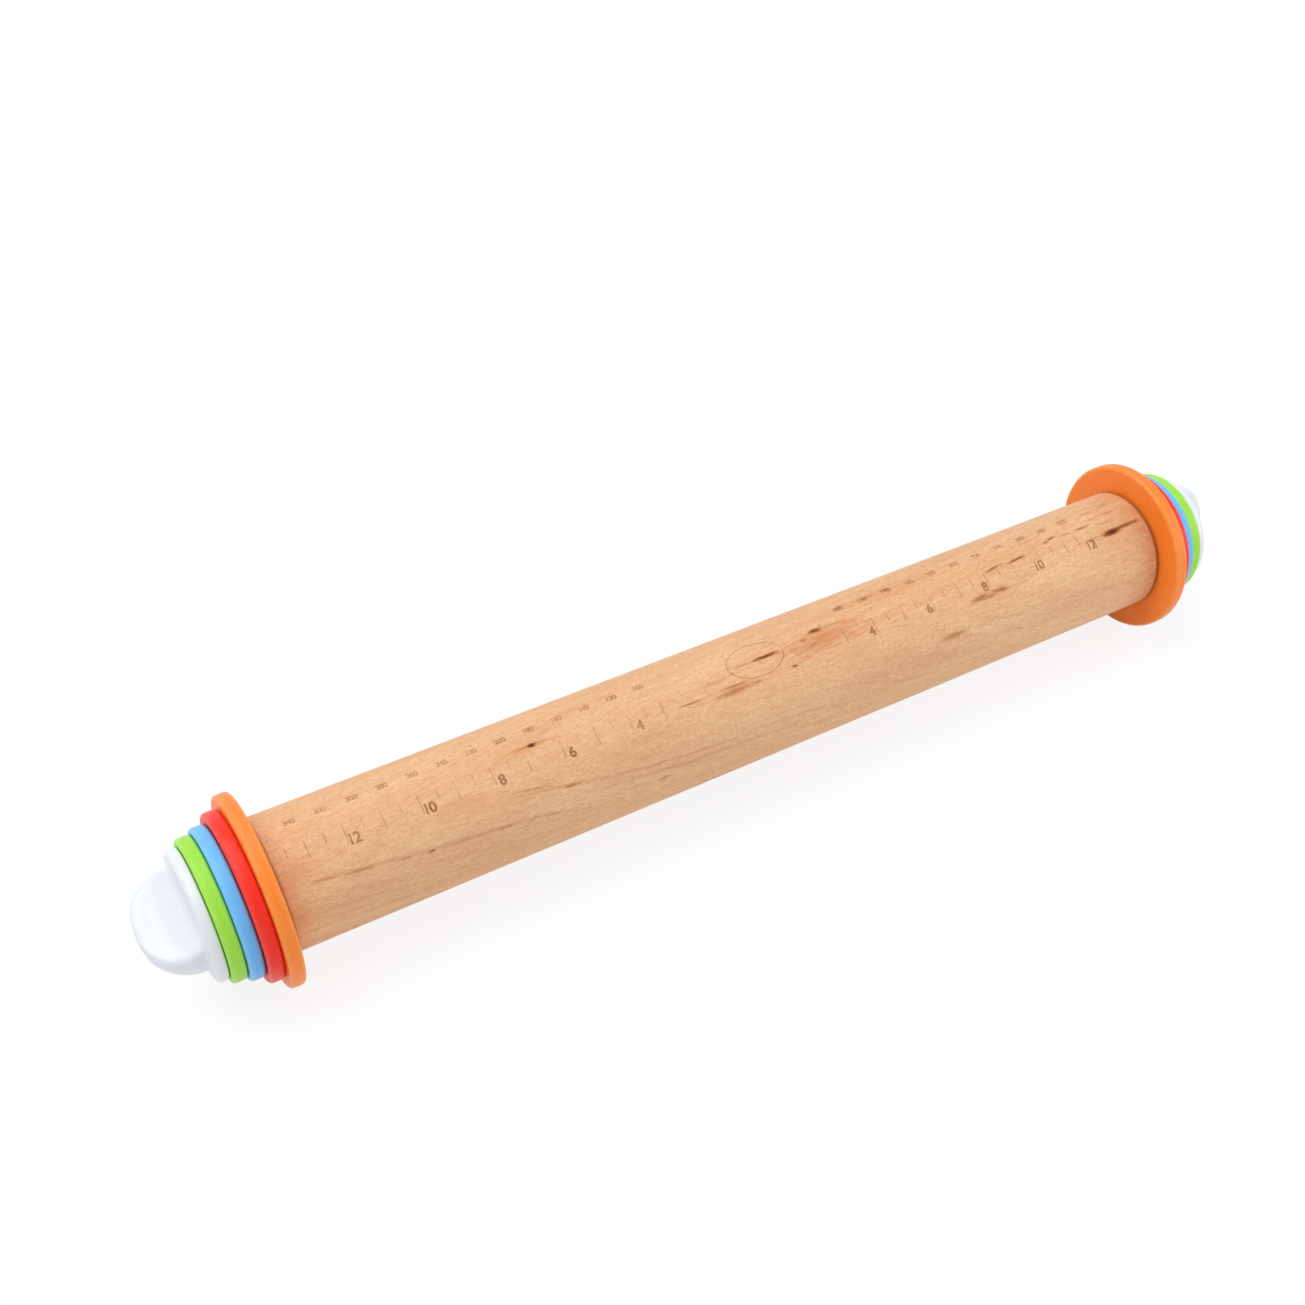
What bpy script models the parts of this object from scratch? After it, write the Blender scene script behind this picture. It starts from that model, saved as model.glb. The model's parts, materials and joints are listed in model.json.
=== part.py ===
# Adjustable rolling pin: a beech barrel that carries four thickness rings and a turn knob at each end.
# The barrel's axis lies along X and Z is up. The origin is the middle of the barrel.
# Each end is modelled in its own frame, whose X axis points out of the barrel and starts at its end face.
import math

import bmesh
import bpy

MM = 0.001

# Barrel
BARREL_LENGTH = 356 * MM
BARREL_RADIUS = 23 * MM
BARREL_CHAMFER = 0.8 * MM
BARREL_SIDES = 56

# Rings: the lift of each ring is the thickness of dough that it leaves under the barrel
ORANGE_LIFT = 10 * MM
RED_LIFT = 6 * MM
BLUE_LIFT = 3 * MM
GREEN_LIFT = 1.5 * MM
RING_THICKNESS = 4.9 * MM
RING_RIM_ROUND = 1.4 * MM
RING_SIDES = 44
RIM_STEPS = 2
BORE_CLEARANCE = 0.5 * MM

# Fits
SEAT_GAP = 0.3 * MM
THREAD_CLEARANCE = 0.35 * MM

# Screw thread of the stud: a coarse round-bottomed moulding thread with one start
THREAD_PITCH = 5 * MM
THREAD_RADIUS = 8 * MM
THREAD_DEPTH = 1.8 * MM
CREST_SHARE = 0.25
ROOT_SHARE = 0.35
THREAD_SIDES = 16

# Stud: base plate, threaded shank with a cored bore, and a blade that drives the grip
STUD_LENGTH = 40 * MM
STUD_TIP_CHAMFER = 1.2 * MM
STUD_CORE_RADIUS = 3.5 * MM
STUD_CORE_DEPTH = 34 * MM
STUD_BASE_THICKNESS = 2 * MM
THREAD_RUNOUT = 2.5 * MM
BLADE_HEIGHT = 8 * MM
BLADE_HALF_WIDTH = 9 * MM
BLADE_HALF_THICKNESS = 1.3 * MM
SHANK_SIDES = 32

# Insert: the threaded bush in each end of the barrel
INSERT_RADIUS = 12 * MM
INSERT_FLANGE_RADIUS = 15 * MM
INSERT_FLANGE_THICKNESS = 2 * MM
INSERT_FLOOR = 2 * MM
INSERT_TIP_ROOM = 1 * MM
INSERT_MOUTH_CHAMFER = 0.6 * MM
INSERT_SIDES = 32

# Knob cap, a hollow moulding: a round flange, and a dome cut by two faces that part towards the flange
FLANGE_RADIUS = 22.5 * MM
FLANGE_THICKNESS = 4 * MM
FLANGE_ROUND = 1.4 * MM
FLANGE_RIM = 3.5 * MM
GRIP_LENGTH = 17 * MM
GRIP_HALF_WIDTH = 17.5 * MM
GRIP_HALF_THICKNESS = 4.2 * MM
GRIP_FLARE = 5.8 * MM
FLARE_LENGTH = 13 * MM
FLARE_POWER = 1.6
GRIP_EDGE = 2.4 * MM
GRIP_FILLET = 2 * MM
CAP_WALL = 2.2 * MM
CAP_SIDES = 32
OUTLINE_POWER = 2.4
TIP_POWER = 6
FILLET_STEPS = 3
OUTLINE_STEPS = 6
CAVITY_STEPS = 4
LEFT_GRIP_ANGLE = math.radians(68)
RIGHT_GRIP_ANGLE = math.radians(22)

# Sizes that follow from the ones above
RING_STEP = RING_THICKNESS + SEAT_GAP
RINGS = (("orange", ORANGE_LIFT), ("red", RED_LIFT), ("blue", BLUE_LIFT), ("green", GREEN_LIFT))
KNOB_SEAT = len(RINGS) * RING_STEP + SEAT_GAP
THREAD_ROOT_RADIUS = THREAD_RADIUS - THREAD_DEPTH
RING_BORE_RADIUS = THREAD_RADIUS + BORE_CLEARANCE
INSERT_BORE_RADIUS = THREAD_ROOT_RADIUS + THREAD_CLEARANCE
INSERT_BORE_DEPTH = STUD_LENGTH + INSERT_TIP_ROOM
INSERT_DEPTH = INSERT_BORE_DEPTH + INSERT_FLOOR
CREST_WIDTH = CREST_SHARE * THREAD_PITCH
ROOT_WIDTH = ROOT_SHARE * THREAD_PITCH
FLANK_WIDTH = (THREAD_PITCH - CREST_WIDTH - ROOT_WIDTH) / 2
CUT_OVERRUN = THREAD_DEPTH / 2
RECESS_RADIUS = FLANGE_RADIUS - FLANGE_RIM
RECESS_DEPTH = STUD_BASE_THICKNESS + SEAT_GAP
STUD_BASE_RADIUS = RECESS_RADIUS - SEAT_GAP


def clear_scene():
    for item in list(bpy.data.objects):
        bpy.data.objects.remove(item, do_unlink=True)


def plain_material(name, colour, roughness):
    # One Principled material; the colour is given as it looks on screen, from 0 to 1.
    material = bpy.data.materials.new(name)
    material.use_nodes = True
    shader = material.node_tree.nodes["Principled BSDF"]
    linear = [channel ** 2.2 for channel in colour]
    shader.inputs["Base Color"].default_value = (*linear, 1)
    shader.inputs["Roughness"].default_value = roughness
    shader.inputs["Metallic"].default_value = 0
    material.diffuse_color = (*linear, 1)
    return material


def make_object(name, mesh_builder, material=None, parent=None, station=0):
    # Turns a finished bmesh into an object that stands at a station along its parent's X axis.
    bmesh.ops.recalc_face_normals(mesh_builder, faces=mesh_builder.faces)
    mesh = bpy.data.meshes.new(name)
    mesh_builder.to_mesh(mesh)
    mesh_builder.free()
    mesh.shade_smooth()
    mesh.set_sharp_from_angle(angle=math.radians(30))
    item = bpy.data.objects.new(name, mesh)
    bpy.context.collection.objects.link(item)
    item.parent = parent
    item.location = (station, 0, 0)
    if material:
        mesh.materials.append(material)
    return item


def as_cutter(item):
    item.hide_render = True
    item.display_type = "WIRE"
    return item


def boolean(item, other, operation):
    step = item.modifiers.new(other.name, "BOOLEAN")
    step.operation = operation
    step.solver = "EXACT"
    step.object = other


def turned_mesh(profile, sides):
    # Turns a closed (x, radius) profile about X. Its flats lie at the named radius, and one faces down.
    builder = bmesh.new()
    to_corner = 1 / math.cos(math.pi / sides)
    columns = []
    for x, radius in profile:
        if radius == 0:
            columns.append([builder.verts.new((x, 0, 0))] * sides)
            continue
        column = []
        for side in range(sides):
            angle = (side + 0.5) * math.tau / sides
            reach = radius * to_corner
            column.append(builder.verts.new((x, reach * math.sin(angle), -reach * math.cos(angle))))
        columns.append(column)
    for index, first in enumerate(columns):
        second = columns[(index + 1) % len(columns)]
        for side in range(sides):
            after = (side + 1) % sides
            corners = []
            for corner in (first[side], first[after], second[after], second[side]):
                if corner not in corners:
                    corners.append(corner)
            if len(corners) > 2:
                builder.faces.new(corners)
    return builder


def lofted_mesh(sections):
    # Skins a closed run of sections with equal point counts; a section with one point closes the skin there.
    builder = bmesh.new()
    rows = [[builder.verts.new(point) for point in section] for section in sections]
    for first, second in zip(rows, rows[1:]):
        count = max(len(first), len(second))
        for index in range(count):
            after = (index + 1) % count
            if len(first) == 1:
                builder.faces.new((first[0], second[after], second[index]))
            elif len(second) == 1:
                builder.faces.new((first[index], first[after], second[0]))
            else:
                builder.faces.new((first[index], first[after], second[after], second[index]))
    return builder


def helix_mesh(section, through, start, end):
    # Sweeps a closed (x, radius) section along a right-hand helix about X that passes the station "through"
    # at angle zero. The sweep runs from "start" to "end" along X, on whole steps of the turn.
    builder = bmesh.new()
    first = math.floor((start - through) / THREAD_PITCH * THREAD_SIDES)
    last = math.ceil((end - through) / THREAD_PITCH * THREAD_SIDES)
    rows = []
    for step in range(first, last + 1):
        angle = step * math.tau / THREAD_SIDES
        centre = through + step * THREAD_PITCH / THREAD_SIDES
        row = []
        for x, radius in section:
            row.append(builder.verts.new((centre + x, radius * math.cos(angle), radius * math.sin(angle))))
        rows.append(row)
    for row, after in zip(rows, rows[1:]):
        for index in range(len(section)):
            neighbour = (index + 1) % len(section)
            builder.faces.new((row[index], row[neighbour], after[neighbour], after[index]))
    builder.faces.new(rows[0])
    builder.faces.new(rows[-1])
    return builder


def rounded_rim(near, far, radius, round_size):
    # Points across a rim of two quarter rounds, from the near face's edge to the far face's edge.
    points = []
    for face, way in ((near, 1), (far, -1)):
        corner = []
        for step in range(RIM_STEPS + 1):
            angle = step / RIM_STEPS * math.pi / 2
            x = face + way * round_size * (1 - math.cos(angle))
            corner.append((x, radius - round_size * (1 - math.sin(angle))))
        points += corner if face == near else reversed(corner)
    return points


def barrel(material):
    # Beech cylinder, chamfered, with a stepped blind bore in each end that holds an insert.
    half = BARREL_LENGTH / 2
    bore = INSERT_RADIUS + SEAT_GAP
    seat = INSERT_FLANGE_RADIUS + SEAT_GAP
    right = [
        (half - INSERT_DEPTH - SEAT_GAP, 0),
        (half - INSERT_DEPTH - SEAT_GAP, bore),
        (half - INSERT_FLANGE_THICKNESS - SEAT_GAP, bore),
        (half - INSERT_FLANGE_THICKNESS - SEAT_GAP, seat),
        (half, seat),
        (half, BARREL_RADIUS - BARREL_CHAMFER),
        (half - BARREL_CHAMFER, BARREL_RADIUS),
    ]
    left = [(-x, radius) for x, radius in reversed(right)]
    return make_object("barrel", turned_mesh(right + left, BARREL_SIDES), material)


def insert(side, frame, material):
    # Threaded bush, flush with the barrel's end face, deep enough for the stud with no rings on it.
    mouth = INSERT_BORE_RADIUS + INSERT_MOUTH_CHAMFER
    blank = make_object(side + "_insert", turned_mesh([
        (0, mouth),
        (0, INSERT_FLANGE_RADIUS),
        (-INSERT_FLANGE_THICKNESS, INSERT_FLANGE_RADIUS),
        (-INSERT_FLANGE_THICKNESS, INSERT_RADIUS),
        (-INSERT_DEPTH, INSERT_RADIUS),
        (-INSERT_DEPTH, 0),
        (-INSERT_BORE_DEPTH, 0),
        (-INSERT_BORE_DEPTH, INSERT_BORE_RADIUS),
        (-INSERT_MOUTH_CHAMFER, INSERT_BORE_RADIUS),
    ], INSERT_SIDES), material, frame)
    # The cut is the stud's own ridge, made larger all round by the clearance.
    to_corner = 1 / math.cos(math.pi / THREAD_SIDES)
    crest = CREST_WIDTH / 2 + THREAD_CLEARANCE
    foot = crest + FLANK_WIDTH
    inside = THREAD_ROOT_RADIUS - CUT_OVERRUN
    foot_below = foot + FLANK_WIDTH * CUT_OVERRUN / THREAD_DEPTH
    top = (THREAD_RADIUS + THREAD_CLEARANCE) * to_corner
    ridge = [(-foot_below, inside), (-crest, top), (crest, top), (foot_below, inside)]
    ridge_line = KNOB_SEAT + THREAD_PITCH / 2
    cutter = helix_mesh(ridge, ridge_line, -INSERT_BORE_DEPTH + foot_below, THREAD_PITCH)
    boolean(blank, as_cutter(make_object(side + "_insert_thread_cut", cutter, None, frame)), "DIFFERENCE")
    return blank


def ring(side, colour, lift, place, frame, material):
    # Disc with a round-edged rim and a hole that slides over the stud's thread.
    radius = BARREL_RADIUS + lift
    inner = SEAT_GAP + place * RING_STEP
    profile = [(0, RING_BORE_RADIUS)]
    profile += rounded_rim(0, RING_THICKNESS, radius, RING_RIM_ROUND)
    profile += [(RING_THICKNESS, RING_BORE_RADIUS)]
    return make_object(side + "_ring_" + colour, turned_mesh(profile, RING_SIDES), material, frame, inner)


def stud(side, angle, frame, material):
    # Threaded shank on a base plate that closes the cap, cored from the tip, with the grip's driving blade.
    tip = -STUD_LENGTH
    body = make_object(side + "_knob_stud", turned_mesh([
        (tip, STUD_CORE_RADIUS),
        (tip, THREAD_RADIUS - STUD_TIP_CHAMFER),
        (tip + STUD_TIP_CHAMFER, THREAD_RADIUS),
        (0, THREAD_RADIUS),
        (0, STUD_BASE_RADIUS),
        (STUD_BASE_THICKNESS, STUD_BASE_RADIUS),
        (STUD_BASE_THICKNESS, 0),
        (tip + STUD_CORE_DEPTH, 0),
        (tip + STUD_CORE_DEPTH, STUD_CORE_RADIUS),
    ], SHANK_SIDES), material, frame, KNOB_SEAT)
    foot = ROOT_WIDTH / 2
    mouth = foot + FLANK_WIDTH
    root = THREAD_ROOT_RADIUS
    above = THREAD_RADIUS + CUT_OVERRUN
    mouth_above = mouth + FLANK_WIDTH * CUT_OVERRUN / THREAD_DEPTH
    groove = [(-foot, root), (-mouth_above, above), (mouth_above, above), (foot, root)]
    cutter = helix_mesh(groove, 0, tip - THREAD_PITCH, -THREAD_RUNOUT - mouth)
    groove_cut = as_cutter(make_object(side + "_stud_thread_cut", cutter, None, frame, KNOB_SEAT))
    boolean(body, groove_cut, "DIFFERENCE")
    blade = bmesh.new()
    bmesh.ops.create_cube(blade, size=1)
    low = STUD_BASE_THICKNESS / 2
    high = STUD_BASE_THICKNESS + BLADE_HEIGHT
    for corner in blade.verts:
        width = 2 * corner.co.y * BLADE_HALF_WIDTH
        depth = 2 * corner.co.z * BLADE_HALF_THICKNESS
        y, z = grip_point(width, depth, angle)
        corner.co = (low if corner.co.x < 0 else high, y, z)
    blade_part = as_cutter(make_object(side + "_stud_blade", blade, None, frame, KNOB_SEAT))
    boolean(body, blade_part, "UNION")
    return body


def grip_point(width, depth, angle):
    # A place across the grip (along its width, through its thickness) in the end frame's Y and Z.
    y = width * math.sin(angle) - depth * math.cos(angle)
    z = width * math.cos(angle) + depth * math.sin(angle)
    return y, z


def round_section(x, radius, angle):
    points = []
    for index in range(CAP_SIDES):
        turn = (index + 0.5) * math.tau / CAP_SIDES
        points.append((x, *grip_point(radius * math.cos(turn), radius * math.sin(turn), angle)))
    return points


def grip_section(x, reach, half_thickness, edge, angle):
    # A disc cut by two faces, with round rims. A quarter has eight points, so the whole has CAP_SIDES.
    half = min(half_thickness, 0.93 * reach)
    edge = min(edge, 0.8 * half)
    centre = math.sqrt((reach - edge) ** 2 - (half - edge) ** 2)
    corner = math.atan2(half - edge, centre)
    quarter = [(reach * math.cos(turn), reach * math.sin(turn)) for turn in (corner / 2, corner)]
    for step in (1, 2, 3):
        turn = corner + (math.pi / 2 - corner) * step / 3
        quarter.append((centre + edge * math.cos(turn), half - edge + edge * math.sin(turn)))
    quarter += [(centre * share, half) for share in (0.72, 0.43, 0.14)]
    loop = quarter + [(-across, through) for across, through in reversed(quarter)]
    loop += [(-across, -through) for across, through in loop]
    return [(x, *grip_point(across, through, angle)) for across, through in loop]


def grip_sections(base, inset, steps, fillet, angle):
    # Sections from the flange to the grip's tip. The inset makes the cavity, a copy with straight faces.
    length = GRIP_LENGTH - inset
    edge = GRIP_EDGE - inset / 2

    def section(along, flare=0):
        reach = (GRIP_HALF_WIDTH - inset) * (1 - (along / length) ** OUTLINE_POWER) ** (1 / OUTLINE_POWER)
        parting = 0 if inset else GRIP_FLARE * max(0, 1 - along / FLARE_LENGTH) ** FLARE_POWER
        thin = (1 - (along / length) ** TIP_POWER) ** (1 / TIP_POWER)
        half = (GRIP_HALF_THICKNESS - inset + parting) * thin
        return grip_section(base + along, reach + flare, half + flare, edge + flare, angle)

    sections = []
    for step in range(FILLET_STEPS if fillet else 0):
        turn = step / FILLET_STEPS * math.pi / 2
        sections.append(section(fillet * (1 - math.cos(turn)), fillet * (1 - math.sin(turn))))
    first = math.asin((fillet / length) ** (OUTLINE_POWER / 2))
    for step in range(steps):
        turn = first + (math.pi / 2 - first) * step / steps
        sections.append(section(length * math.sin(turn) ** (2 / OUTLINE_POWER)))
    sections.append([(base + length, 0, 0)])
    return sections


def knob_cap(side, angle, frame, material):
    # One closed skin: from the grip's tip down the outside, across the flange's inner face and up the cavity.
    rim = rounded_rim(0, FLANGE_THICKNESS, FLANGE_RADIUS, FLANGE_ROUND)
    outside = [round_section(x, radius, angle) for x, radius in rim]
    outside += grip_sections(FLANGE_THICKNESS, 0, OUTLINE_STEPS, GRIP_FILLET, angle)
    inside = [round_section(0, RECESS_RADIUS, angle), round_section(RECESS_DEPTH, RECESS_RADIUS, angle)]
    cavity = grip_sections(FLANGE_THICKNESS, CAP_WALL, CAVITY_STEPS, 0, angle)
    cavity_mouth = [(RECESS_DEPTH, y, z) for x, y, z in cavity[0]]
    inside += [cavity_mouth] + cavity[1:]
    skin = lofted_mesh(list(reversed(outside)) + inside)
    return make_object(side + "_knob_cap", skin, material, frame, KNOB_SEAT)


def build():
    clear_scene()
    wood = plain_material("beech", (0.87, 0.69, 0.50), 0.55)
    nylon = plain_material("nylon", (0.90, 0.89, 0.86), 0.45)
    white = plain_material("white_gloss", (0.95, 0.95, 0.95), 0.2)
    ring_materials = {
        "orange": plain_material("orange_plastic", (1.0, 0.52, 0.16), 0.45),
        "red": plain_material("red_plastic", (0.93, 0.20, 0.14), 0.45),
        "blue": plain_material("blue_plastic", (0.36, 0.68, 0.96), 0.45),
        "green": plain_material("green_plastic", (0.62, 0.88, 0.25), 0.45),
    }
    barrel(wood)
    ends = (("left", math.pi, -LEFT_GRIP_ANGLE), ("right", 0, RIGHT_GRIP_ANGLE))
    for side, turn, angle in ends:
        frame = bpy.data.objects.new(side + "_end", None)
        bpy.context.collection.objects.link(frame)
        frame.location = (math.cos(turn) * BARREL_LENGTH / 2, 0, 0)
        frame.rotation_euler = (0, 0, turn)
        insert(side, frame, nylon)
        for place, (colour, lift) in enumerate(RINGS):
            ring(side, colour, lift, place, frame, ring_materials[colour])
        stud(side, angle, frame, nylon)
        knob_cap(side, angle, frame, white)


build()
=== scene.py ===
import json
import math

import bmesh
import bpy
import numpy as np
from mathutils import Matrix, Vector

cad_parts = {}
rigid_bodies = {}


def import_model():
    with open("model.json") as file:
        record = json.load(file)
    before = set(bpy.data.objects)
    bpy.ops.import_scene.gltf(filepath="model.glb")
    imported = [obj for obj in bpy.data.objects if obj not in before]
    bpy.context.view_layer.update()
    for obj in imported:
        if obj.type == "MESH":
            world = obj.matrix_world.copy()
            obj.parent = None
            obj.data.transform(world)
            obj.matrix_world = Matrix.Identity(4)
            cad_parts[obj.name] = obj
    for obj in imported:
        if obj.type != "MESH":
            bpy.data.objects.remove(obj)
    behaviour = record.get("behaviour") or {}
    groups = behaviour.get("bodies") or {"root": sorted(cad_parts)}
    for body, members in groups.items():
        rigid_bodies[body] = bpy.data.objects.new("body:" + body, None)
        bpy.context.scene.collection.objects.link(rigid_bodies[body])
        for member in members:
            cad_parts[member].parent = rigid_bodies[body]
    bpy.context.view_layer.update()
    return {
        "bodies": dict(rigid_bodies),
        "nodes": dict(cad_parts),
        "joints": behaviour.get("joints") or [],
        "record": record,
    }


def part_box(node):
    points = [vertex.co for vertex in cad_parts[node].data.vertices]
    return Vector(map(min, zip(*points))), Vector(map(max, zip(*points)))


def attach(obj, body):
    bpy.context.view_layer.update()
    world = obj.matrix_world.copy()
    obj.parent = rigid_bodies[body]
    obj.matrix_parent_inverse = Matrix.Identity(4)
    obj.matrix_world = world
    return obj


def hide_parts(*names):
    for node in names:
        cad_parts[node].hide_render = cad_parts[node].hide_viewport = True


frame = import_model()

mm = 0.001
white = (1, 1, 1, 1)
sharpCorner = 32  # degrees; flatter corners are shaded smooth
print("frame loaded:", len(frame["nodes"]), "parts")


# Small helpers for node trees

def srgb(red, green, blue):
    # A colour as a picture shows it, 0 to 255, turned into the linear values that shaders take
    linear = []
    for value in (red / 255, green / 255, blue / 255):
        linear.append(value / 12.92 if value <= 0.04045 else ((value + 0.055) / 1.055) ** 2.4)
    return (*linear, 1)


def feed(node, sockets):
    # Gives each named or numbered socket of a node a link or a value
    for key, value in sockets.items():
        if isinstance(value, bpy.types.NodeSocket):
            node.id_data.links.new(value, node.inputs[key])
        else:
            node.inputs[key].default_value = value


def addNode(tree, kind, sockets=None, **settings):
    node = tree.nodes.new(kind)
    for key, value in settings.items():
        setattr(node, key, value)
    feed(node, sockets or {})
    return node


def put(tree, kind, sockets=None, **settings):
    # Adds a node and gives its first output
    return addNode(tree, kind, sockets, **settings).outputs[0]


def treeOf(*values):
    # The node tree that the linked values among these are in
    return next(value.id_data for value in values if isinstance(value, bpy.types.NodeSocket))


def calc(operation, first, second=0.0, third=0.0, clamp=False):
    sockets = {0: first, 1: second, 2: third}
    return put(treeOf(first, second), "ShaderNodeMath", sockets, operation=operation, use_clamp=clamp)


def plus(first, second):
    return calc("ADD", first, second)


def minus(first, second):
    return calc("SUBTRACT", first, second)


def times(first, second):
    return calc("MULTIPLY", first, second)


def over(first, second):
    return calc("DIVIDE", first, second)


def vectorCalc(operation, first, second=(0, 0, 0), scale=1.0):
    sockets = {0: first, 1: second, 3: scale}
    node = addNode(treeOf(first), "ShaderNodeVectorMath", sockets, operation=operation)
    return node.outputs[1 if operation in ("LENGTH", "DOT_PRODUCT") else 0]


def joinXYZ(x=0.0, y=0.0, z=0.0):
    return put(treeOf(x, y, z), "ShaderNodeCombineXYZ", {0: x, 1: y, 2: z})


def splitXYZ(vector):
    return addNode(treeOf(vector), "ShaderNodeSeparateXYZ", {0: vector}).outputs


def objectPlace(tree):
    return addNode(tree, "ShaderNodeTexCoord").outputs["Object"]


def toMm(place):
    return vectorCalc("SCALE", place, scale=1 / mm)


def remap(value, low, high, toLow=0.0, toHigh=1.0, smooth=False):
    sockets = {"Value": value, "From Min": low, "From Max": high, "To Min": toLow, "To Max": toHigh}
    kind = "SMOOTHSTEP" if smooth else "LINEAR"
    return put(treeOf(value), "ShaderNodeMapRange", sockets, interpolation_type=kind)


def blendColours(factor, first, second):
    sockets = {0: factor, 6: first, 7: second}
    return addNode(treeOf(factor), "ShaderNodeMix", sockets, data_type="RGBA").outputs[2]


def noise(place, scales, detail=2.0, roughness=0.5, distortion=0.0):
    # Noise that is stretched by its own scale along each axis
    sockets = {"Scale": 1.0, "Detail": detail, "Roughness": roughness, "Distortion": distortion}
    sockets["Vector"] = vectorCalc("MULTIPLY", place, scales)
    return put(treeOf(place), "ShaderNodeTexNoise", sockets)


def noiseMask(place, scales, detail, roughness, low, high, smooth=True):
    # Noise between two of its values, spread from 0 to 1
    return remap(noise(place, scales, detail, roughness), low, high, smooth=smooth)


def newGroup(name, kind, inputs, outputs):
    # A node group and its two ends; inputs and outputs give each socket's name and type
    tree = bpy.data.node_groups.new(name, kind + "NodeTree")
    for way, sockets in (("INPUT", inputs), ("OUTPUT", outputs)):
        for label, socketType in sockets.items():
            tree.interface.new_socket(name=label, in_out=way, socket_type="NodeSocket" + socketType)
    return tree, tree.nodes.new("NodeGroupInput").outputs, tree.nodes.new("NodeGroupOutput")


def useGroup(tree, group, sockets):
    return addNode(tree, "ShaderNodeGroup", sockets, node_tree=group).outputs


def newMaterial(name, plain):
    # A Principled material; plain values go straight on the shader's sockets
    material = bpy.data.materials.new(name)
    material.use_nodes = True
    tree = material.node_tree
    shader = tree.nodes["Principled BSDF"]
    feed(shader, plain)
    return material, tree, shader


# Small helpers for objects and meshes

def newObject(name, data):
    item = bpy.data.objects.new(name, data)
    bpy.context.scene.collection.objects.link(item)
    return item


def shadeSmooth(mesh, cornerDegrees=sharpCorner):
    mesh.shade_smooth()
    mesh.set_sharp_from_angle(angle=math.radians(cornerDegrees))


def meshObject(name, builder, material, matrix=None, cornerDegrees=sharpCorner):
    # Turns a bmesh into an object: in its place, facing out, smooth but for real corners
    bmesh.ops.recalc_face_normals(builder, faces=builder.faces)
    if matrix:
        bmesh.ops.transform(builder, matrix=matrix, verts=builder.verts)
    mesh = bpy.data.meshes.new(name)
    builder.to_mesh(mesh)
    builder.free()
    shadeSmooth(mesh, cornerDegrees)
    mesh.materials.append(material)
    return newObject(name, mesh)


def writeValues(item, name, values):
    # Keeps one number for each point as an attribute
    item.data.attributes.new(name, "FLOAT", "POINT").data.foreach_set("value", values)


def markEdges(item, softCurve, hardCurve):
    # Writes how sharply each point stands out (1 / mm) as an edge attribute, from 0 to 1, that pales
    # edges as wear and as a painted highlight
    builder = bmesh.new()
    builder.from_mesh(item.data)
    values = []
    for point in builder.verts:
        curves = []
        for edge in point.link_edges:
            step = (point.co - edge.other_vert(point).co) / mm
            if step.length > 0.001:  # points that all but meet say nothing
                curves.append(2 * point.normal.dot(step) / step.length_squared)
        strongest = max(curves, default=0)
        values.append(min(1, max(0, (strongest - softCurve) / (hardCurve - softCurve))))
    builder.free()
    writeValues(item, "edgeWearAndHighlight", values)


def bridgeRows(builder, first, second):
    # Joins two closed rows of points with faces; a row of one repeated point makes triangles
    for index in range(len(first)):
        after = (index + 1) % len(first)
        corners = []
        for corner in (first[index], first[after], second[after], second[index]):
            if corner not in corners:
                corners.append(corner)
        if len(corners) > 2:
            builder.faces.new(corners)


def turnedShape(profile, sides):
    # Turns a closed list of (x, radius) about X; a radius of 0 is a pole
    builder = bmesh.new()
    columns = []
    for x, radius in profile:
        if radius == 0:
            columns.append([builder.verts.new((x, 0, 0))] * sides)
            continue
        column = []
        for side in range(sides):
            angle = side * math.tau / sides
            column.append(builder.verts.new((x, radius * math.cos(angle), radius * math.sin(angle))))
        columns.append(column)
    for index, column in enumerate(columns):
        bridgeRows(builder, column, columns[(index + 1) % len(columns)])
    return builder


def arc(centreX, centreRadius, size, fromDegrees, toDegrees, steps):
    # Points of a rounded corner in (x, radius); 0 degrees points along +x and 90 outwards
    points = []
    for step in range(steps + 1):
        angle = math.radians(fromDegrees + (toDegrees - fromDegrees) * step / steps)
        points.append((centreX + size * math.cos(angle), centreRadius + size * math.sin(angle)))
    return points


def bakeModifiers(item):
    # Turns what an object's modifiers make of it into its plain mesh
    graph = bpy.context.evaluated_depsgraph_get()
    mesh = bpy.data.meshes.new_from_object(item.evaluated_get(graph), depsgraph=graph)
    item.modifiers.clear()
    item.data = mesh


def applyTree(item, tree, values):
    # Runs a Geometry Nodes tree on an object, with its inputs set by their identifiers
    step = item.modifiers.new(tree.name, "NODES")
    identifiers = {}
    for socket in tree.interface.items_tree:
        if socket.in_out == "INPUT":
            identifiers[socket.name] = socket.identifier
    for name, value in values.items():
        step[identifiers[name]] = value
    step.node_group = tree
    bakeModifiers(item)


def newTree(name, inputs):
    # A Geometry Nodes tree; inputs give the type of all but its geometry
    shape = {"Geometry": "Geometry"}
    return newGroup(name, "Geometry", {**shape, **inputs}, shape)


def finishTree(result, geometry, position, material):
    # The end of each Geometry Nodes tree: points moved, geometry made real, material set
    tree = treeOf(geometry)
    moved = put(tree, "GeometryNodeSetPosition", {"Geometry": geometry, "Position": position})
    real = put(tree, "GeometryNodeRealizeInstances", {"Geometry": moved})
    done = put(tree, "GeometryNodeSetMaterial", {"Geometry": real, "Material": material})
    feed(result, {"Geometry": done})


# Studio: the photograph's camera, a white floor and two softboxes

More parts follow.
